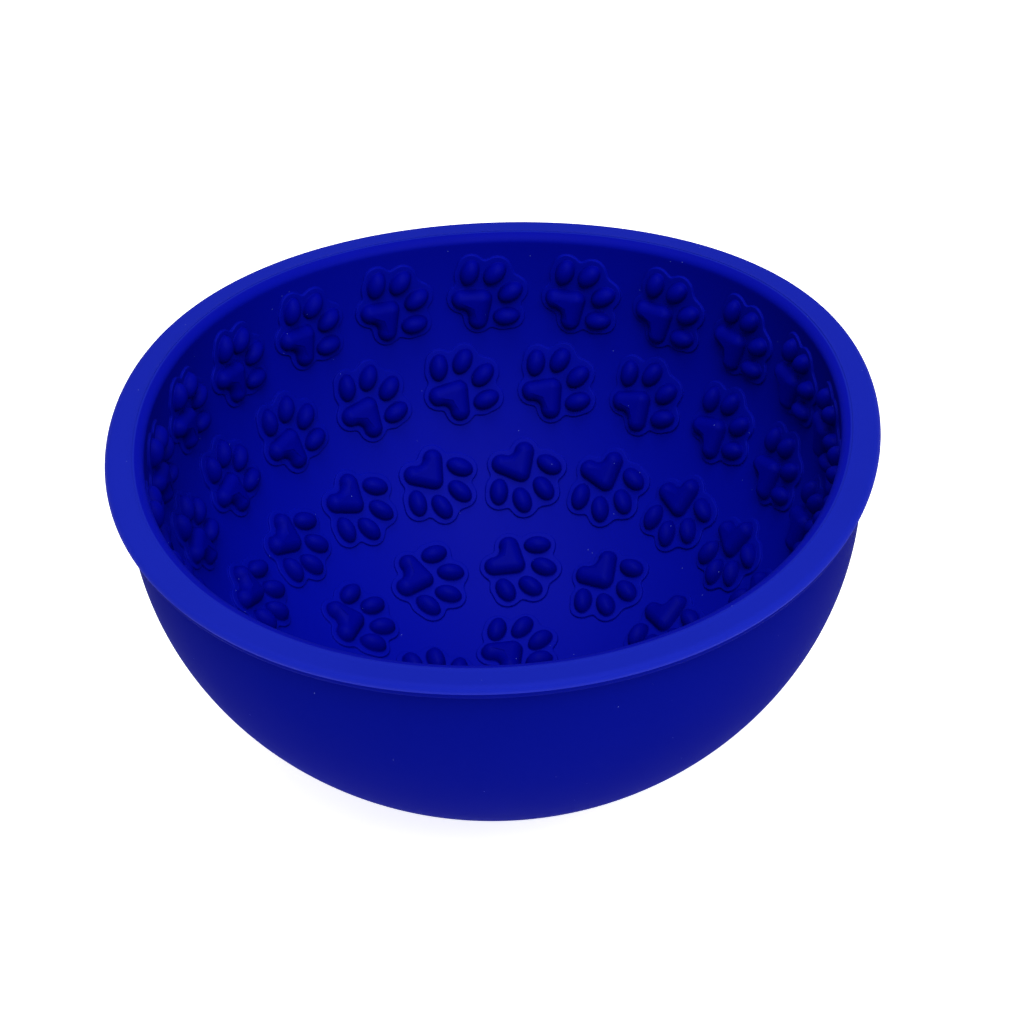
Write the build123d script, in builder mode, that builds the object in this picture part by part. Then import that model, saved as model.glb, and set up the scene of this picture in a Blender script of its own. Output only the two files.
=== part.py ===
from build123d import *
from math import acos, asin, atan2, cos, degrees, hypot, radians, sin, sqrt
import os

# A hemispherical silicone bowl with rows of raised paw prints inside.
# Frame: origin at the middle of the foot's flat face, +Z up the bowl's axis, millimetres.
# Angles round the bowl are counted from +X towards +Y, and +Y is the back.

# ---- driving dimensions: the lip ----
RIM_RADIUS = 65.0
RIM_INNER_RADIUS = 60.8
RIM_HEIGHT = 3.1
RIM_LEAN = 0.4
RIM_LEAN_START = 1.0
RIM_TOP_ROUND = 0.95
RIM_UNDER_ROUND = 0.4
MOUTH_BEVEL_DEPTH = 1.4

# ---- driving dimensions: the wall and foot ----
# The inside is half a sphere centred level with the bottom of the mouth's bevel. The outside
# is half an ellipsoid, a little lower, with a short upright part above it.
INNER_RADIUS = 58.9
WALL_RADIUS = 61.65
WALL_DEPTH = 57.2
EQUATOR_DROP = 5.9
FOOT_RADIUS = 16.0
FOOT_DROP = 0.6
FOOT_ROUND = 0.8

# The wall is three bands, cut level at these angles below the sphere's equator.
UPPER_BAND_END = 30
MIDDLE_BAND_END = 58

# ---- driving dimensions: one paw print, with its toes towards local +Y ----
PLATE_LIFT = 0.95
PLATE_ROOT = 1.2
PLATE_MARGIN = 0.91
PLATE_CENTRE_Y = 0.48
PLATE_RADIUS = 5.87
PAD_HEIGHT = 1.5
PAD_ROUND = 0.9
TIP_Y = -0.82
TIP_RADIUS = 1.6
HEEL_X = 2.42
HEEL_Y = -4.02
HEEL_RADIUS = 1.72
NOTCH_Y = -4.65
TOE_HALF_WIDTH = 1.6
TOE_HALF_LENGTH = 2.42
INNER_TOE = (2.26, 3.8)
INNER_TOE_LEAN = 7
OUTER_TOE = (5.3, 0.39)
OUTER_TOE_LEAN = 30

# ---- driving dimensions: the rows of prints, from the mouth down ----
# Each row has its number of prints, how many degrees below the equator they lie, the angle
# of one print round the bowl, and the turn of its toes. The turn is clockwise from straight
# up the wall, as seen from inside the bowl.
ROWS = {
    "row_1": (21, 9.35, 90.15, 53),
    "row_2": (19, 25.3, 77.1, 39),
    "row_3": (17, 42.3, 83.3, 150),
    "row_4": (11, 59.3, 83.1, 120),
    "row_5": (5, 75.9, 81.0, 38),
}

# ---- worked out from them ----
EQUATOR_Z = FOOT_DROP + WALL_DEPTH
TOP_Z = EQUATOR_Z + EQUATOR_DROP
LIP_Z = TOP_Z - RIM_HEIGHT
SPHERE_Z = TOP_Z - MOUTH_BEVEL_DEPTH


def inner_arc(start, end):
    """Stretch of the inside's circle between two angles below its equator."""
    return CenterArc((0, SPHERE_Z), INNER_RADIUS, -start, start - end)


def outer_arc(start_z, end_z):
    """Stretch of the outside's ellipse between two heights, the first one the higher."""
    angles = [-degrees(asin((EQUATOR_Z - z) / WALL_DEPTH)) for z in (start_z, end_z)]
    return EllipticalCenterArc(
        (0, EQUATOR_Z), WALL_RADIUS, WALL_DEPTH, start_angle=angles[1], arc_size=angles[0] - angles[1]
    )


def below_equator(z):
    """Angle below the sphere's equator of the inside at a height."""
    return degrees(asin((SPHERE_Z - z) / INNER_RADIUS))


def finish(part, name):
    """Name a finished piece and write it."""
    part.label = name
    export_step(part, f"parts/{name}.step")


os.makedirs("parts", exist_ok=True)

# ---- the lip ----
with BuildPart() as rim_lip:
    with BuildSketch(Plane.XZ):
        with BuildLine():
            throat = inner_arc(0, below_equator(LIP_Z))
            Polyline(
                throat @ 0,
                (RIM_INNER_RADIUS, TOP_Z),
                (RIM_RADIUS, TOP_Z),
                (RIM_RADIUS, TOP_Z - RIM_LEAN_START),
                (RIM_RADIUS - RIM_LEAN, LIP_Z),
                throat @ 1,
            )
        make_face()
        corners = vertices().filter_by_position(Axis.X, RIM_RADIUS - RIM_LEAN, RIM_RADIUS)
        fillet(corners.sort_by(Axis.Y)[0], RIM_UNDER_ROUND)
        fillet(vertices().group_by(Axis.Y)[-1].sort_by(Axis.X)[-1], RIM_TOP_ROUND)
    revolve(axis=Axis.Z)
finish(rim_lip.part, "rim_lip")

# ---- the wall, in three bands ----
upper_end_z = SPHERE_Z - INNER_RADIUS * sin(radians(UPPER_BAND_END))
middle_end_z = SPHERE_Z - INNER_RADIUS * sin(radians(MIDDLE_BAND_END))

with BuildPart() as wall_upper:
    with BuildSketch(Plane.XZ):
        with BuildLine():
            inside = inner_arc(below_equator(LIP_Z), UPPER_BAND_END)
            outside = outer_arc(EQUATOR_Z, upper_end_z)
            Polyline(inside @ 0, (WALL_RADIUS, LIP_Z), outside @ 1)
            Line(inside @ 1, outside @ 0)
        make_face()
    revolve(axis=Axis.Z)
finish(wall_upper.part, "wall_upper")

with BuildPart() as wall_middle:
    with BuildSketch(Plane.XZ):
        with BuildLine():
            inside = inner_arc(UPPER_BAND_END, MIDDLE_BAND_END)
            outside = outer_arc(upper_end_z, middle_end_z)
            Line(inside @ 0, outside @ 1)
            Line(inside @ 1, outside @ 0)
        make_face()
    revolve(axis=Axis.Z)
finish(wall_middle.part, "wall_middle")

with BuildPart() as wall_floor:
    with BuildSketch(Plane.XZ):
        with BuildLine():
            inside = inner_arc(MIDDLE_BAND_END, 90)
            outside = outer_arc(middle_end_z, FOOT_DROP)
            Line(inside @ 0, outside @ 1)
            Line(inside @ 1, outside @ 0)
        make_face()
    revolve(axis=Axis.Z)
finish(wall_floor.part, "wall_floor")

# ---- the foot ----
with BuildPart() as foot:
    with BuildSketch(Plane.XZ):
        with BuildLine():
            seat_z = EQUATOR_Z - WALL_DEPTH * sqrt(1 - (FOOT_RADIUS / WALL_RADIUS) ** 2)
            seat = outer_arc(seat_z, FOOT_DROP)
            Polyline(seat @ 0, (0, 0), (FOOT_RADIUS, 0), seat @ 1)
        make_face()
        fillet(vertices().group_by(Axis.Y)[0].sort_by(Axis.X)[-1], FOOT_ROUND)
    revolve(axis=Axis.Z)
finish(foot.part, "foot")


# ---- the space inside the bowl, which cuts the plates' undersides to the wall ----
with BuildPart() as bowl_inside:
    with BuildSketch(Plane.XZ):
        with BuildLine():
            inside = inner_arc(0, 90)
            Polyline(inside @ 0, (0, SPHERE_Z), inside @ 1)
        make_face()
    revolve(axis=Axis.Z)


# ---- one paw print's outlines and pads, drawn flat ----
def heart(margin):
    """The main pad's outline, a rounded tip and two heels with a hollow, grown by the margin."""
    across, along = HEEL_X, HEEL_Y - TIP_Y
    flank = degrees(atan2(along, across) + acos((TIP_RADIUS - HEEL_RADIUS) / hypot(along, across)))
    drop = HEEL_Y - NOTCH_Y
    notch_radius = (HEEL_X**2 + drop**2 - HEEL_RADIUS**2) / (2 * (HEEL_RADIUS - drop))
    notch_y = NOTCH_Y - notch_radius
    joint = degrees(atan2(HEEL_Y - notch_y, HEEL_X))
    heel_sweep = 180 + flank - joint
    heel_radius = HEEL_RADIUS + margin
    with BuildSketch() as outline:
        with BuildLine():
            tip = CenterArc((0, TIP_Y), TIP_RADIUS + margin, flank, 180 - 2 * flank)
            left = CenterArc((-HEEL_X, HEEL_Y), heel_radius, 180 - flank, heel_sweep)
            CenterArc((0, notch_y), notch_radius - margin, 180 - joint, 2 * joint - 180)
            right = CenterArc((HEEL_X, HEEL_Y), heel_radius, joint - 180, heel_sweep)
            Line(tip @ 1, left @ 0)
            Line(right @ 1, tip @ 0)
        make_face()
    return outline.sketch


def toe_spots():
    """Where the four toes stand, each with the lean of its long axis."""
    spots = []
    for (x, y), lean in ((INNER_TOE, INNER_TOE_LEAN), (OUTER_TOE, OUTER_TOE_LEAN)):
        for side in (-1, 1):
            spots.append(Location((side * x, y, 0), (0, 0, -side * lean)))
    return spots


with BuildSketch() as plate_outline:
    add(heart(PLATE_MARGIN))
    with Locations(*toe_spots()):
        Ellipse(TOE_HALF_WIDTH + PLATE_MARGIN, TOE_HALF_LENGTH + PLATE_MARGIN)
    with Locations((0, PLATE_CENTRE_Y)):
        Circle(PLATE_RADIUS)

with BuildPart() as main_pad:
    with BuildSketch():
        add(heart(0))
    extrude(amount=PAD_HEIGHT)
    fillet(faces().sort_by(Axis.Z)[-1].edges(), PAD_ROUND)

with BuildPart() as toe_pads:
    with BuildSketch():
        with Locations(*toe_spots()):
            Ellipse(TOE_HALF_WIDTH, TOE_HALF_LENGTH)
    extrude(amount=PAD_HEIGHT)
    fillet(faces().filter_by(Plane.XY).group_by(Axis.Z)[-1].edges(), PAD_ROUND)


def print_plane(below, turn):
    """Plane of a print's plate top, on the wall at angle zero, with its toes towards local Y."""
    outward = Vector(cos(radians(below)), 0, -sin(radians(below)))
    right = Vector(0, -1, 0)
    up = (-outward).cross(right)
    across = right * cos(radians(turn)) - up * sin(radians(turn))
    middle = Vector(0, 0, SPHERE_Z) + outward * (INNER_RADIUS - PLATE_LIFT)
    return Plane(origin=middle, x_dir=across, z_dir=-outward)


def write_row(piece, count, start, name):
    """Repeat a piece round the bowl and write the row as one node."""
    with BuildPart() as row_pieces:
        with PolarLocations(0, count, start_angle=start):
            add(piece)
    finish(row_pieces.part, name)


for row, (count, below, start, turn) in ROWS.items():
    plane = print_plane(below, turn)
    with BuildPart() as plate:
        with BuildSketch(plane):
            add(plate_outline.sketch)
        extrude(amount=-(PLATE_LIFT + PLATE_ROOT))
        add(bowl_inside.part, mode=Mode.INTERSECT)
    write_row(plate.part, count, start, f"{row}_plates")
    write_row(main_pad.part.moved(plane.location), count, start, f"{row}_main_pads")
    write_row(toe_pads.part.moved(plane.location), count, start, f"{row}_toe_pads")
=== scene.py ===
import math

import bpy
import numpy as np
from mathutils import Matrix, Vector


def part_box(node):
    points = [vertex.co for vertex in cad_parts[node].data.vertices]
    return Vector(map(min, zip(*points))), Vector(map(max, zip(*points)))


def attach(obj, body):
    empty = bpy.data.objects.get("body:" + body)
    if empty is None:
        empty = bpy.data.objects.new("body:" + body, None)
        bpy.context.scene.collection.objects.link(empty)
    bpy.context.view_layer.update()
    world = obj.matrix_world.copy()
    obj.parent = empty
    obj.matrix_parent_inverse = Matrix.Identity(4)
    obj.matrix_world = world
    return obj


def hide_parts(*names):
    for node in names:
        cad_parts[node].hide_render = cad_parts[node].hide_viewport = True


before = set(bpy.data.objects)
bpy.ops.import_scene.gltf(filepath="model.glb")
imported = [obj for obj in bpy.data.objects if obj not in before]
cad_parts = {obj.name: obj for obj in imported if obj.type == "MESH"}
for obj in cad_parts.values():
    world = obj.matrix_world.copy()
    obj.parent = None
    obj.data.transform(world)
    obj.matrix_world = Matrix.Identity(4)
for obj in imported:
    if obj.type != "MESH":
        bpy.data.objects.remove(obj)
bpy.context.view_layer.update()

# A one-piece silicone bowl with raised paw prints inside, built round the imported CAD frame.
# Everything is in metres, with the origin at the middle of the foot and +Z up the bowl's axis.

# ---- the bowl's own sizes ----
MM = 0.001
rim_low, rim_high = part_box("rim_lip")
RIM_RADIUS = rim_high.y
TOP_Z = rim_high.z
LIP_Z = rim_low.z
WALL_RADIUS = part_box("wall_upper")[1].y
WALL_BOTTOM_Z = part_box("wall_floor")[0].z
FOOT_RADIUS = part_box("foot")[1].y
INNER_RADIUS = 58.9 * MM
SPHERE_Z = TOP_Z - 1.4 * MM
THROAT = math.degrees(math.asin((SPHERE_Z - LIP_Z) / INNER_RADIUS))
EQUATOR_Z = TOP_Z - 5.9 * MM
WALL_DEPTH = EQUATOR_Z - WALL_BOTTOM_Z
LIP_INNER_RADIUS = RIM_RADIUS - 4.2 * MM
LIP_LEAN = 0.4 * MM
LIP_TOP_ROUND = 0.95 * MM
LIP_UNDER_ROUND = 1.5 * MM
PARTING_BEAD = 0.09 * MM
UNDER_LIP_FILLET = 0.5 * MM
MOUTH_ROUND_START = 80
FOOT_ROUND = 0.8 * MM
FOOT_ROOT = 0.2 * MM

# ---- one paw print, drawn flat with its toes towards +Y ----
TIP = (0.0, -0.82 * MM)
TIP_RADIUS = 1.6 * MM
HEEL = (2.42 * MM, -4.02 * MM)
HEEL_RADIUS = 1.72 * MM
NOTCH_Y = -4.65 * MM
TOE_HALF_WIDTH = 1.6 * MM
TOE_HALF_LENGTH = 2.42 * MM
INNER_TOE = (2.26 * MM, 3.8 * MM, 7)
OUTER_TOE = (5.3 * MM, 0.39 * MM, 30)
PLATE_MARGIN = 0.91 * MM
PLATE_CENTRE = (0.0, 0.48 * MM)
PLATE_RADIUS = 5.87 * MM
PLATE_BLEND = 0.35 * MM
PLATE_HEIGHT = 0.46 * MM
PLATE_FOOT_ROUND = 0.08 * MM
PLATE_TOP_ROUND = 0.2 * MM
PAD_HEIGHT = 2.05 * MM
PAD_DOME_REACH = 1.85 * MM
PAD_DOME_STOP = 1.5 * MM
PAD_CROWN = 0.07 * MM
PAD_CORE = (0.0, -3.1 * MM)
PAD_FOOT_ROUND = 0.2 * MM
ROOT = 0.06 * MM

# ---- the rows of prints, from the mouth down ----
# name: prints, degrees below the equator, angle of one print from +X, and the turn of the
# toes clockwise from straight up the wall, as seen from inside the bowl.
ROWS = {
    "row_1": (21, 9.35, 90.15, 53),
    "row_2": (19, 25.3, 77.1, 39),
    "row_3": (17, 42.3, 83.3, 150),
    "row_4": (11, 59.3, 83.1, 120),
    "row_5": (5, 75.9, 81.0, 38),
}

# ---- how the soft bowl sits: squeezed a little across, so its mouth is an oval ----
# Each bend has its number of waves round the mouth, its size in rim radii and its turn.
BENDS = ((2, 0.02165, math.radians(-2.86)), (4, 0.00151, math.radians(-4.3)))
BEND_CENTRE_Z = TOP_Z - 6.6 * MM

# ---- silicone finish, with the scales of its textures per metre ----
SILICONE_IOR = 1.41
CLOUD_SCALE = 38.0
CLOUDINESS = 0.06
SPECK_SCALE = 330.0
SPECK_SIZE = 0.024
DUST_COLOUR = (0.10, 0.13, 0.45)
SHEEN_SCALE = 120.0
ROUGHNESS_SPREAD = 0.06
WAVE_SCALE = 26.0
WAVE_HEIGHT = 0.6 * MM
GRAIN_SCALE = 2600.0
GRAIN_HEIGHT = 0.02 * MM

# ---- studio ----
FLOOR_HALF = 6.0
FLOOR_GREY = 0.9
FLOOR_ROUGHNESS = 0.9
TABLE_GLOW = 0.8
ROOM_LIGHT = 0.34

# ---- mesh fineness, with the angles in degrees past which an edge stays sharp ----
SHARP_BOWL_EDGE = 40
SHARP_PRINT_EDGE = 60
STRAIGHT_STEPS = 5
THROAT_STEPS = 5
HOLLOW_STEPS = 5
FILLET_STEPS = 6
SMALL_ROUND_STEPS = 7
TOP_CORNER_STEPS = 10
WIDE_ROUND_STEPS = 12
FOOT_SEAT_STEPS = 24
ROUND_STEPS = 384
WALL_STEPS = 110
PLATE_POINTS = 132
PAD_POINTS = 88
TOE_POINTS = 44
PLATE_RINGS = 10
DOME_RINGS = 12
CROWN_RINGS = 8
HALVINGS = 40

# ---- camera, in rim radii from the middle of the mouth ----
CAMERA_DISTANCE = 6.038
CAMERA_ELEVATION = math.radians(32.375)
CAMERA_AIM = (0.0355, 0.0, -0.2940)
CAMERA_ROLL = math.radians(-2.583)
CAMERA_LENS = 86.54


# ---------------------------------------------------------------- shape of the bowl
def flex(points):
    """Bend a soft round shell without stretching it, so that its mouth becomes an oval.

    The foot stays where it is, and the mouth narrows and rises at the sides.
    """
    x, y, z = points.T
    rise = z - BEND_CENTRE_Z
    around = np.arctan2(y, x)
    from_pole = np.arctan2(np.hypot(x, y), -rise)
    radial, sideways, upward = np.zeros((3, len(points)))
    for waves, size, turn in BENDS:
        growth = size * RIM_RADIUS * np.tan(from_pole / 2) ** waves
        wave = np.cos(waves * (around - turn))
        along = growth * np.sin(from_pole) * wave
        outward = -growth * (waves + np.cos(from_pole)) * wave
        sideways += growth * np.sin(from_pole) * np.sin(waves * (around - turn))
        radial += along * np.cos(from_pole) + outward * np.sin(from_pole)
        upward += along * np.sin(from_pole) - outward * np.cos(from_pole)
    return np.stack(
        [
            x + radial * np.cos(around) - sideways * np.sin(around),
            y + radial * np.sin(around) + sideways * np.cos(around),
            z + upward,
        ],
        axis=1,
    )


# ---------------------------------------------------------------- mesh helpers
def make_object(name, points, faces, sharp_angle=SHARP_BOWL_EDGE):
    """Mesh object from arrays, smooth shaded with real edges kept sharp."""
    mesh = bpy.data.meshes.new(name)
    mesh.from_pydata(np.asarray(points).tolist(), [], faces)
    mesh.validate()
    mesh.shade_smooth()
    mesh.set_sharp_from_angle(angle=math.radians(sharp_angle))
    piece = bpy.data.objects.new(name, mesh)
    bpy.context.scene.collection.objects.link(piece)
    return piece


def revolve(name, profile, finish_starts=(), bent=True):
    """Closed ring or cup from a profile of (radius, z), drawn with its solid on the left.

    A profile that starts and ends on the axis makes a closed cup, any other a ring. The
    piece's next finish takes over at each point of the profile in `finish_starts`. A bent
    piece follows the soft bowl's oval.
    """
    profile = np.asarray(profile)
    on_axis = profile[0, 0] == 0
    angles = np.linspace(0, 2 * math.pi, ROUND_STEPS, endpoint=False)
    body = profile[1:-1] if on_axis else profile
    rings = np.stack(
        [
            np.outer(np.cos(angles), body[:, 0]),
            np.outer(np.sin(angles), body[:, 0]),
            np.tile(body[:, 1], (ROUND_STEPS, 1)),
        ],
        axis=2,
    )
    points = rings.reshape(-1, 3).tolist()
    count = len(body)
    faces, finishes = [], []
    last = count - 1 if on_axis else count
    for turn in range(ROUND_STEPS):
        here = turn * count
        there = (turn + 1) % ROUND_STEPS * count
        for step in range(last):
            after = (step + 1) % count
            faces.append((here + step, there + step, there + after, here + after))
            finishes.append(sum(step + on_axis >= start for start in finish_starts))
    if on_axis:
        start, end = len(points), len(points) + 1
        points += [[0, 0, profile[0, 1]], [0, 0, profile[-1, 1]]]
        for turn in range(ROUND_STEPS):
            here = turn * count
            there = (turn + 1) % ROUND_STEPS * count
            faces.append((start, there, here))
            faces.append((end, here + count - 1, there + count - 1))
            finishes += [0, len(finish_starts)]
    points = np.asarray(points)
    piece = make_object(name, flex(points) if bent else points, faces)
    piece.data.polygons.foreach_set("material_index", finishes)
    return piece


def arc(centre, radius, start, end, steps):
    """Points on a circle's arc, from one angle to the other, in degrees."""
    angles = np.radians(np.linspace(start, end, steps))
    return np.stack(
        [centre[0] + radius * np.cos(angles), centre[1] + radius * np.sin(angles)], axis=1
    )


def inner_arc(start, end, steps):
    """Points on the inside, between two angles below the sphere's equator."""
    return arc((0, SPHERE_Z), INNER_RADIUS, -start, -end, steps)


def outer_arc(start, end, steps):
    """Points on the outside's ellipse, between two angles below its equator."""
    angles = np.radians(-np.linspace(start, end, steps))
    return np.stack(
        [WALL_RADIUS * np.cos(angles), EQUATOR_Z + WALL_DEPTH * np.sin(angles)], axis=1
    )


def make_wall():
    """The hemispherical shell, from the foot to the underside of the lip."""
    outside = outer_arc(90, 0, WALL_STEPS)
    outside[0, 0] = 0
    rise = np.linspace(EQUATOR_Z, LIP_Z, STRAIGHT_STEPS + 1)[1:]
    upright = np.stack([np.full(STRAIGHT_STEPS, WALL_RADIUS), rise], axis=1)
    inside = inner_arc(THROAT, 90, WALL_STEPS)
    inside[-1, 0] = 0
    outside = np.concatenate([outside, upright])
    return revolve("bowl_shell", np.concatenate([outside, inside]), [len(outside)])


def make_lip():
    """The thick lip: flat top, round outer edge, a fine parting bead and a round mouth edge."""
    seat = [(WALL_RADIUS - ROOT, LIP_Z - UNDER_LIP_FILLET)]
    fillet_centre = (WALL_RADIUS + UNDER_LIP_FILLET, LIP_Z - UNDER_LIP_FILLET)
    under_fillet = arc(fillet_centre, UNDER_LIP_FILLET, 180, 90, FILLET_STEPS)
    under_centre = (RIM_RADIUS - LIP_LEAN - LIP_UNDER_ROUND, LIP_Z + LIP_UNDER_ROUND)
    under_corner = arc(under_centre, LIP_UNDER_ROUND, -90, 0, WIDE_ROUND_STEPS)
    top_centre = (RIM_RADIUS - LIP_TOP_ROUND, TOP_Z - LIP_TOP_ROUND)
    top_corner = arc(top_centre, LIP_TOP_ROUND, 0, 90, TOP_CORNER_STEPS)
    flat_end = LIP_INNER_RADIUS + 4 * PARTING_BEAD
    flat = np.linspace(top_centre[0], flat_end, STRAIGHT_STEPS + 1)[1:]
    top = np.stack([flat, np.full(STRAIGHT_STEPS, TOP_Z)], axis=1)
    bead = arc((LIP_INNER_RADIUS + PARTING_BEAD, TOP_Z), PARTING_BEAD, 60, 200, SMALL_ROUND_STEPS)
    below = np.concatenate([seat, under_fillet, under_corner])
    outside = np.concatenate([below, top_corner, top, bead])
    turn = np.radians(np.linspace(MOUTH_ROUND_START, 0, WIDE_ROUND_STEPS))
    mouth_round = np.stack(
        [
            bead[-1, 0] - (bead[-1, 0] - INNER_RADIUS) * np.cos(turn),
            SPHERE_Z + (bead[-1, 1] - SPHERE_Z) * np.sin(turn),
        ],
        axis=1,
    )
    throat = inner_arc(0, THROAT, THROAT_STEPS)[1:]
    # The under round takes the darker painted-shade copy; the upright outer face, round top edge,
    # flat top and bead take the lighter painted-light copy; the mouth round and throat take the
    # inside silicone.
    finish_starts = [len(below) - 1, len(outside)]
    return revolve("bowl_lip", np.concatenate([outside, mouth_round, throat]), finish_starts)


def make_foot():
    """The low round foot, flat below and let into the wall above it."""
    edge = arc((FOOT_RADIUS - FOOT_ROUND, FOOT_ROUND), FOOT_ROUND, -90, 0, SMALL_ROUND_STEPS)
    seat_angle = math.acos(FOOT_RADIUS / WALL_RADIUS)
    angles = np.linspace(-seat_angle, -math.pi / 2, FOOT_SEAT_STEPS)
    seat_depth = WALL_DEPTH - FOOT_ROOT
    seat = np.stack([WALL_RADIUS * np.cos(angles), EQUATOR_Z + seat_depth * np.sin(angles)], axis=1)
    seat[-1, 0] = 0
    floor = [(0, 0), (FOOT_RADIUS / 2, 0)]
    return revolve("bowl_foot", np.concatenate([floor, edge, seat]), bent=False)


# ---------------------------------------------------------------- outlines of a print
def resample(outline, count):
    """The same closed outline as evenly spaced points, counter-clockwise."""
    closed = np.vstack([outline, outline[:1]])
    lengths = np.hypot(*np.diff(closed, axis=0).T)
    run = np.concatenate([[0], np.cumsum(lengths)])
    spots = np.linspace(0, run[-1], count, endpoint=False)
    return np.stack([np.interp(spots, run, closed[:, axis]) for axis in (0, 1)], axis=1)


def main_pad_outline():
    """Heart outline of circles: a rounded tip, two heels and the hollow between them."""
    tip, heel = np.array(TIP), np.array(HEEL)
    reach = heel - tip
    side = math.degrees(
        math.atan2(reach[1], reach[0])
        + math.acos((TIP_RADIUS - HEEL_RADIUS) / np.hypot(*reach))
    )
    drop = HEEL[1] - NOTCH_Y
    notch_radius = (HEEL[0] ** 2 + drop**2 - HEEL_RADIUS**2) / (2 * (HEEL_RADIUS - drop))
    notch_centre = np.array([0, NOTCH_Y - notch_radius])
    lean = math.degrees(math.atan2(heel[1] - notch_centre[1], heel[0]))
    left_heel = (-HEEL[0], HEEL[1])
    parts = [
        arc(TIP, TIP_RADIUS, side, 180 - side, 40),
        arc(left_heel, HEEL_RADIUS, 180 - side, 360 - lean, 60)[1:],
        arc(notch_centre, notch_radius, 180 - lean, lean, 30)[1:],
        arc(HEEL, HEEL_RADIUS, lean - 180, side, 60)[1:-1],
    ]
    return resample(np.concatenate(parts), PAD_POINTS)


def toe_places():
    """Centre and lean of each of the four toes."""
    places = []
    for x, y, lean in (INNER_TOE, OUTER_TOE):
        places += [(-x, y, math.radians(lean)), (x, y, math.radians(-lean))]
    return places


def toe_outline(x, y, lean):
    """An upright oval at its place, leaning outwards."""
    angles = np.linspace(0, 2 * math.pi, TOE_POINTS * 4, endpoint=False)
    across = TOE_HALF_WIDTH * np.cos(angles)
    along = TOE_HALF_LENGTH * np.sin(angles)
    oval = np.stack(
        [
            x + across * math.cos(lean) - along * math.sin(lean),
            y + across * math.sin(lean) + along * math.cos(lean),
        ],
        axis=1,
    )
    return resample(oval, TOE_POINTS)


def capsule_gap(points, start, end, radius):
    """Distance from points to a round-ended bar, negative inside."""
    start, bar = np.array(start), np.subtract(end, start)
    share = np.clip((points - start) @ bar / (bar @ bar), 0, 1)
    return np.hypot(*(points - start - share[:, None] * bar).T) - radius


def plate_gap(points):
    """Distance-like field of the plate's outline: pads grown by the margin, softly joined."""
    gaps = [np.hypot(*(points - PLATE_CENTRE).T) - PLATE_RADIUS]
    for side in (-1, 1):
        heel = (side * HEEL[0], HEEL[1])
        gaps.append(capsule_gap(points, TIP, heel, HEEL_RADIUS + PLATE_MARGIN))
    for x, y, lean in toe_places():
        half = TOE_HALF_LENGTH - TOE_HALF_WIDTH
        reach = (-half * math.sin(lean), half * math.cos(lean))
        start, end = (x - reach[0], y - reach[1]), (x + reach[0], y + reach[1])
        gaps.append(capsule_gap(points, start, end, TOE_HALF_WIDTH + PLATE_MARGIN))
    return -PLATE_BLEND * np.log(sum(np.exp(-gap / PLATE_BLEND) for gap in gaps))


def plate_outline():
    """The scalloped outline round all five pads, found along rays from the middle."""
    angles = np.linspace(0, 2 * math.pi, PLATE_POINTS * 3, endpoint=False)
    rays = np.stack([np.cos(angles), np.sin(angles)], axis=1)
    near, far = np.zeros(len(angles)), np.full(len(angles), 2 * PLATE_RADIUS)
    for _ in range(HALVINGS):
        middle = (near + far) / 2
        outside = plate_gap(rays * middle[:, None] + PLATE_CENTRE) > 0
        far = np.where(outside, middle, far)
        near = np.where(outside, near, middle)
    return resample(rays * near[:, None] + PLATE_CENTRE, PLATE_POINTS)


# ---------------------------------------------------------------- relief on the wall
def foot_stations(foot_round, base):
    """(inset, height) up the hollow foot of a raised form, from below the surface it is on."""
    stations = [(-foot_round, base - ROOT)]
    for angle in np.linspace(0, math.pi / 2, HOLLOW_STEPS):
        inset = foot_round * (math.sin(angle) - 1)
        stations.append((inset, base + foot_round * (1 - math.cos(angle))))
    return stations


def inset_rings(outline, stations):
    """The outline moved in by each station's inset and up to its height."""
    ahead = np.roll(outline, -1, axis=0) - np.roll(outline, 1, axis=0)
    inward = np.stack([-ahead[:, 1], ahead[:, 0]], axis=1)
    inward /= np.linalg.norm(inward, axis=1, keepdims=True)
    return [
        np.column_stack([outline + inset * inward, np.full(len(outline), height)])
        for inset, height in stations
    ]


def shrunk_rings(ring, core, shares, heights):
    """Smaller copies of a ring round its core, each at its own height."""
    rings = []
    for share, height in zip(shares, heights):
        flat = np.asarray(core) + (ring[:, :2] - core) * share
        rings.append(np.column_stack([flat, np.full(len(ring), height)]))
    return rings


def closed_form(rings, core, peak):
    """Points (u, v, height) and faces of a stack of rings closed by a fan at either end."""
    points = np.concatenate(rings + [[[*core, peak], [*core, rings[0][0, 2]]]])
    count = len(rings[0])
    faces = []
    for ring in range(len(rings) - 1):
        low, high = ring * count, (ring + 1) * count
        for step in range(count):
            after = (step + 1) % count
            faces.append((low + step, low + after, high + after, high + step))
    top, bottom = len(points) - 2, len(points) - 1
    last = (len(rings) - 1) * count
    for step in range(count):
        after = (step + 1) % count
        faces.append((last + step, last + after, top))
        faces.append((after, step, bottom))
    return points, faces


def plate_form():
    """The low plate: a soft-edged step, level with the wall's curve on top."""
    stations = foot_stations(PLATE_FOOT_ROUND, 0)
    for angle in np.linspace(0, math.pi / 2, FILLET_STEPS):
        inset = PLATE_TOP_ROUND * (1 - math.cos(angle))
        stations.append((inset, PLATE_HEIGHT - PLATE_TOP_ROUND * (1 - math.sin(angle))))
    rings = inset_rings(plate_outline(), stations)
    shares = np.linspace(1, 0, PLATE_RINGS)[1:-1]
    rings += shrunk_rings(rings[-1], PLATE_CENTRE, shares, np.full(len(shares), PLATE_HEIGHT))
    return closed_form(rings, PLATE_CENTRE, PLATE_HEIGHT)


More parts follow.
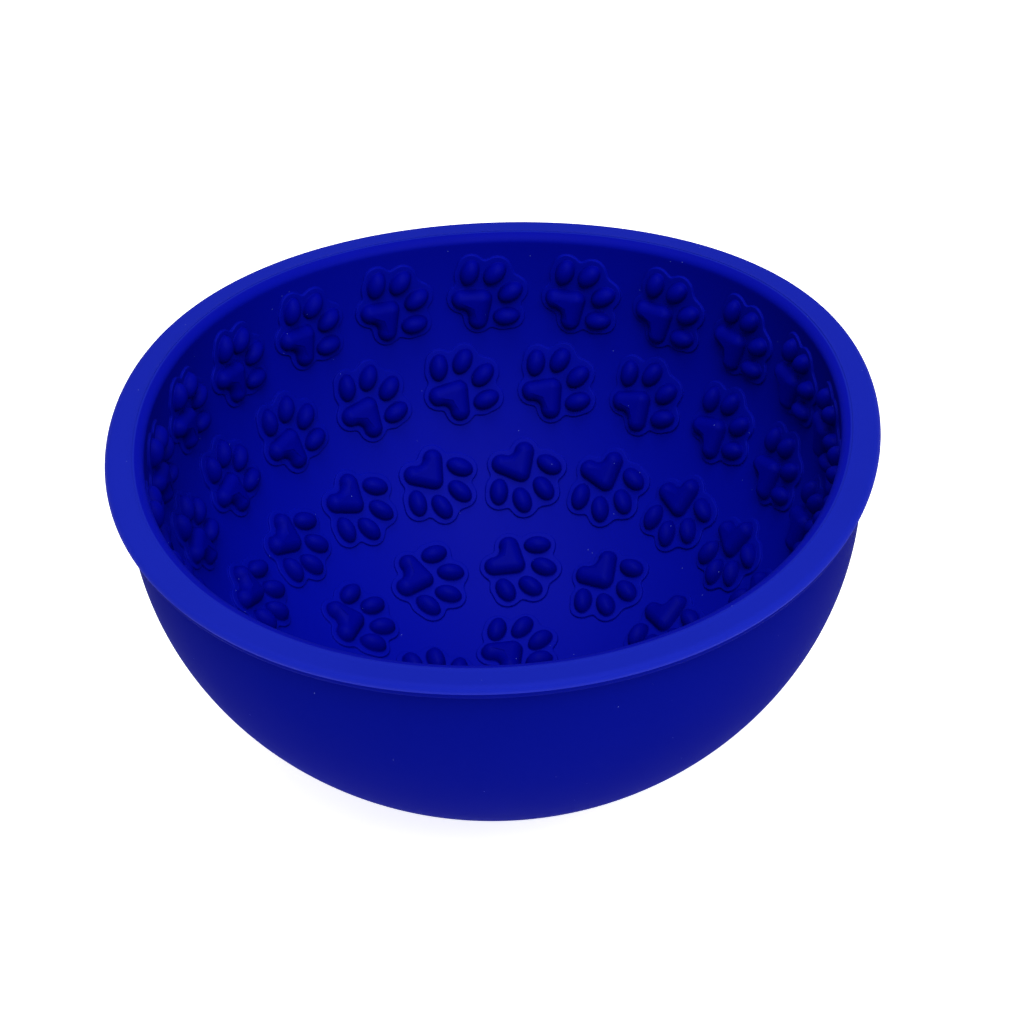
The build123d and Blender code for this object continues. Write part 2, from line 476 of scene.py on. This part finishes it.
def main_pad_form():
    """The puffed heart: it rises steeply from its outline and levels off over its lobes."""
    stations = foot_stations(PAD_FOOT_ROUND, PLATE_HEIGHT)
    start = PLATE_HEIGHT + PAD_FOOT_ROUND
    rise = PAD_HEIGHT - PAD_FOOT_ROUND
    dome_end = math.acos(1 - PAD_DOME_STOP / PAD_DOME_REACH)
    for angle in np.linspace(0, dome_end, DOME_RINGS + 1)[1:]:
        inset = PAD_DOME_REACH * (1 - math.cos(angle))
        stations.append((inset, start + rise * math.sin(angle)))
    rings = inset_rings(main_pad_outline(), stations)
    shares = np.linspace(1, 0, CROWN_RINGS)[1:-1]
    edge = stations[-1][1]
    rings += shrunk_rings(rings[-1], PAD_CORE, shares, edge + PAD_CROWN * (1 - shares**2))
    return closed_form(rings, PAD_CORE, edge + PAD_CROWN)


def toe_form(x, y, lean):
    """One egg-shaped toe pad."""
    rings = inset_rings(toe_outline(x, y, lean), foot_stations(PAD_FOOT_ROUND, PLATE_HEIGHT))
    angles = np.linspace(0, math.pi / 2, DOME_RINGS)[1:-1]
    start = PLATE_HEIGHT + PAD_FOOT_ROUND
    peak = PLATE_HEIGHT + PAD_HEIGHT
    heights = start + (peak - start) * np.sin(angles)
    rings += shrunk_rings(rings[-1], (x, y), np.cos(angles), heights)
    return closed_form(rings, (x, y), peak)


def print_axes(below, around, turn):
    """The four directions of a print: outward, across and towards its toes."""
    outward = np.array(
        [
            math.cos(below) * math.cos(around),
            math.cos(below) * math.sin(around),
            -math.sin(below),
        ]
    )
    right = np.array([math.sin(around), -math.cos(around), 0])
    up = np.cross(-outward, right)
    toes = up * math.cos(turn) + right * math.sin(turn)
    return outward, np.cross(toes, -outward), toes


def lay_on_wall(flat, axes):
    """Carry flat points (u, v, height) on to the inside of the sphere, square to it."""
    outward, across, toes = axes
    reach = np.sqrt(INNER_RADIUS**2 - flat[:, :1] ** 2 - flat[:, 1:2] ** 2)
    spot = reach * outward + flat[:, :1] * across + flat[:, 1:2] * toes
    return spot * (1 - flat[:, 2:] / INNER_RADIUS) + (0, 0, SPHERE_Z)


def make_row(name, row, forms):
    """One object holding the same relief forms at every print of a row."""
    count, below, start, turn = row
    points, faces = [], []
    for index in range(count):
        around = math.radians(start) + 2 * math.pi * index / count
        axes = print_axes(math.radians(below), around, math.radians(turn))
        for flat, flat_faces in forms:
            base = sum(map(len, points))
            points.append(lay_on_wall(flat, axes))
            faces += [tuple(base + corner for corner in face) for face in flat_faces]
    return make_object(name, flex(np.concatenate(points)), faces, sharp_angle=SHARP_PRINT_EDGE)


# ---------------------------------------------------------------- silicone
def add_node(tree, kind, **settings):
    node = tree.nodes.new(kind)
    for key, value in settings.items():
        if key in node.inputs:
            node.inputs[key].default_value = value
        else:
            setattr(node, key, value)
    return node


def make_silicone(name, base, specular, roughness, grain, wave):
    """Matt pigmented silicone: cloudy colour, uneven sheen, mould grain, slow waves and dust. Its
    base colour is the pigment's, painted lighter in one copy as painted light and darker in others as
    painted shade.
    """
    material = bpy.data.materials.new(name)
    material.use_nodes = True
    tree = material.node_tree
    links = tree.links
    shader = tree.nodes["Principled BSDF"]
    shader.inputs["IOR"].default_value = SILICONE_IOR
    shader.inputs["Specular IOR Level"].default_value = specular
    place = add_node(tree, "ShaderNodeTexCoord")

    cloud = add_node(tree, "ShaderNodeTexNoise", Scale=CLOUD_SCALE, Detail=3.0, Roughness=0.55)
    links.new(place.outputs["Object"], cloud.inputs["Vector"])
    tint = add_node(tree, "ShaderNodeMix", data_type="RGBA")
    tint.inputs["A"].default_value = (*(channel * (1 - CLOUDINESS) for channel in base), 1)
    tint.inputs["B"].default_value = (*(channel * (1 + CLOUDINESS) for channel in base), 1)
    links.new(cloud.outputs["Fac"], tint.inputs["Factor"])

    cells = add_node(tree, "ShaderNodeTexVoronoi", Scale=SPECK_SCALE)
    links.new(place.outputs["Object"], cells.inputs["Vector"])
    speck = add_node(tree, "ShaderNodeMath", operation="LESS_THAN")
    speck.inputs[1].default_value = SPECK_SIZE
    links.new(cells.outputs["Distance"], speck.inputs[0])
    dusty = add_node(tree, "ShaderNodeMix", data_type="RGBA")
    dusty.inputs["B"].default_value = (*DUST_COLOUR, 1)
    links.new(speck.outputs[0], dusty.inputs["Factor"])
    links.new(tint.outputs["Result"], dusty.inputs["A"])
    links.new(dusty.outputs["Result"], shader.inputs["Base Color"])

    patches = add_node(tree, "ShaderNodeTexNoise", Scale=SHEEN_SCALE, Detail=4.0, Roughness=0.6)
    links.new(place.outputs["Object"], patches.inputs["Vector"])
    matt = add_node(tree, "ShaderNodeMapRange")
    matt.inputs["To Min"].default_value = roughness - ROUGHNESS_SPREAD
    matt.inputs["To Max"].default_value = roughness + ROUGHNESS_SPREAD
    links.new(patches.outputs["Fac"], matt.inputs["Value"])
    links.new(matt.outputs["Result"], shader.inputs["Roughness"])

    slow = add_node(tree, "ShaderNodeTexNoise", Scale=WAVE_SCALE, Detail=1.0, Roughness=0.4)
    links.new(place.outputs["Object"], slow.inputs["Vector"])
    waves = add_node(tree, "ShaderNodeBump", Strength=wave, Distance=WAVE_HEIGHT)
    links.new(slow.outputs["Fac"], waves.inputs["Height"])
    fine = add_node(tree, "ShaderNodeTexNoise", Scale=GRAIN_SCALE, Detail=2.0, Roughness=0.5)
    links.new(place.outputs["Object"], fine.inputs["Vector"])
    bump = add_node(tree, "ShaderNodeBump", Strength=grain, Distance=GRAIN_HEIGHT)
    links.new(fine.outputs["Fac"], bump.inputs["Height"])
    links.new(waves.outputs["Normal"], bump.inputs["Normal"])
    links.new(bump.outputs["Normal"], shader.inputs["Normal"])
    return material


def dress(piece, materials, *nodes):
    """Give a piece its finishes and tie it to the frame."""
    for finish in materials:
        piece.data.materials.append(finish)
    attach(piece, "root")
    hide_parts(*nodes)


# ---------------------------------------------------------------- the pieces
# The wall, lip and plates came off a blasted mould and look frosted. The pads' hollows in the mould
# were smoother, so the pads are less rough. Their darker blue is painted shade, as is the outside's
# darker blue; the lip's lighter blue with its green tint is painted light and a painted sheen.
# The lip copy is painted lighter, with a painted sheen tint of green, for the light on its up-facing
# top.
lip_silicone_painted_light = make_silicone("silicone_lip_painted_light", (0.005, 0.012, 0.3), 0.035, 0.6, 0.35, 0.1)
# The outside copy is painted darker, as painted shade on the outer wall, the lip's under round and
# the foot.
outer_silicone_painted_shade = make_silicone("silicone_outside_painted_shade", (0.001, 0.003, 0.155), 0.003, 0.6, 0.35, 0.3)
inner_silicone = make_silicone("silicone_inside", (0.0, 0.002, 0.262), 0.045, 0.6, 0.35, 0.15)
# The pad copy is painted darker than the wall, as painted shade among the pads of each print.
pad_silicone_painted_shade = make_silicone("silicone_pads_painted_shade", (0.0, 0.001, 0.205), 0.02, 0.5, 0.2, 0.0)

dress(make_wall(), (outer_silicone_painted_shade, inner_silicone), "wall_upper", "wall_middle", "wall_floor")
dress(make_lip(), (outer_silicone_painted_shade, lip_silicone_painted_light, inner_silicone), "rim_lip")
dress(make_foot(), (outer_silicone_painted_shade,), "foot")

plates = [plate_form()]
main_pads = [main_pad_form()]
toes = [toe_form(x, y, lean) for x, y, lean in toe_places()]
for row_name, row in ROWS.items():
    dress(make_row(f"{row_name}_print_plates", row, plates), (inner_silicone,), f"{row_name}_plates")
    dress(make_row(f"{row_name}_palm_pads", row, main_pads), (pad_silicone_painted_shade,), f"{row_name}_main_pads")
    dress(make_row(f"{row_name}_toes", row, toes), (pad_silicone_painted_shade,), f"{row_name}_toe_pads")


# ---------------------------------------------------------------- floor, light and camera
def make_floor():
    """A plain pale floor that runs far past the view, softly lit through like a light table."""
    mesh = bpy.data.meshes.new("floor")
    corners = [(x * FLOOR_HALF, y * FLOOR_HALF, 0) for x, y in ((-1, -1), (1, -1), (1, 1), (-1, 1))]
    mesh.from_pydata(corners, [], [(0, 1, 2, 3)])
    floor = bpy.data.objects.new("floor", mesh)
    bpy.context.scene.collection.objects.link(floor)
    material = bpy.data.materials.new("pale_floor")
    material.use_nodes = True
    shader = material.node_tree.nodes["Principled BSDF"]
    shader.inputs["Base Color"].default_value = (FLOOR_GREY, FLOOR_GREY, FLOOR_GREY, 1)
    shader.inputs["Roughness"].default_value = FLOOR_ROUGHNESS
    shader.inputs["Emission Color"].default_value = (1, 1, 1, 1)
    shader.inputs["Emission Strength"].default_value = TABLE_GLOW
    mesh.materials.append(material)


def add_light(name, place, size, power):
    """A square soft light that looks at the bowl."""
    lamp = bpy.data.lights.new(name, "AREA")
    lamp.size = size
    lamp.energy = power
    light = bpy.data.objects.new(name, lamp)
    light.location = place
    aim = Vector((0, 0, TOP_Z / 2)) - Vector(place)
    light.rotation_euler = aim.to_track_quat("-Z", "Y").to_euler()
    bpy.context.scene.collection.objects.link(light)


def add_camera():
    """Looks down into the bowl from the front, with the photographer's slight tilt."""
    middle = Vector((0, 0, TOP_Z))
    towards_camera = Vector((0, -math.cos(CAMERA_ELEVATION), math.sin(CAMERA_ELEVATION)))
    place = middle + towards_camera * CAMERA_DISTANCE * RIM_RADIUS
    aim = middle + Vector(CAMERA_AIM) * RIM_RADIUS
    forward = (aim - place).normalized()
    right = forward.cross(Vector((0, 0, 1))).normalized()
    up = right.cross(forward)
    tilted_right = right * math.cos(CAMERA_ROLL) + up * math.sin(CAMERA_ROLL)
    tilted_up = up * math.cos(CAMERA_ROLL) - right * math.sin(CAMERA_ROLL)
    turn = Matrix((tilted_right, tilted_up, -forward)).transposed()
    lens = bpy.data.cameras.new("camera")
    lens.lens = CAMERA_LENS
    lens.clip_start = 0.01
    camera = bpy.data.objects.new("camera", lens)
    camera.matrix_world = Matrix.Translation(place) @ turn.to_4x4()
    bpy.context.scene.collection.objects.link(camera)
    bpy.context.scene.camera = camera


def light_the_room():
    """An even white surround."""
    world = bpy.data.worlds.new("studio")
    world.use_nodes = True
    world.node_tree.nodes["Background"].inputs["Color"].default_value = (1, 1, 1, 1)
    world.node_tree.nodes["Background"].inputs["Strength"].default_value = ROOM_LIGHT
    bpy.context.scene.world = world


make_floor()
light_the_room()
add_light("main_softbox", (0.1, -1.1, 1.7), 1.1, 27.0)
add_light("overhead", (-0.2, 0.2, 1.9), 1.1, 16.0)
add_light("right_fill", (1.2, -0.9, 1.2), 0.9, 9.0)
add_camera()
bpy.context.scene.view_settings.view_transform = "Standard"
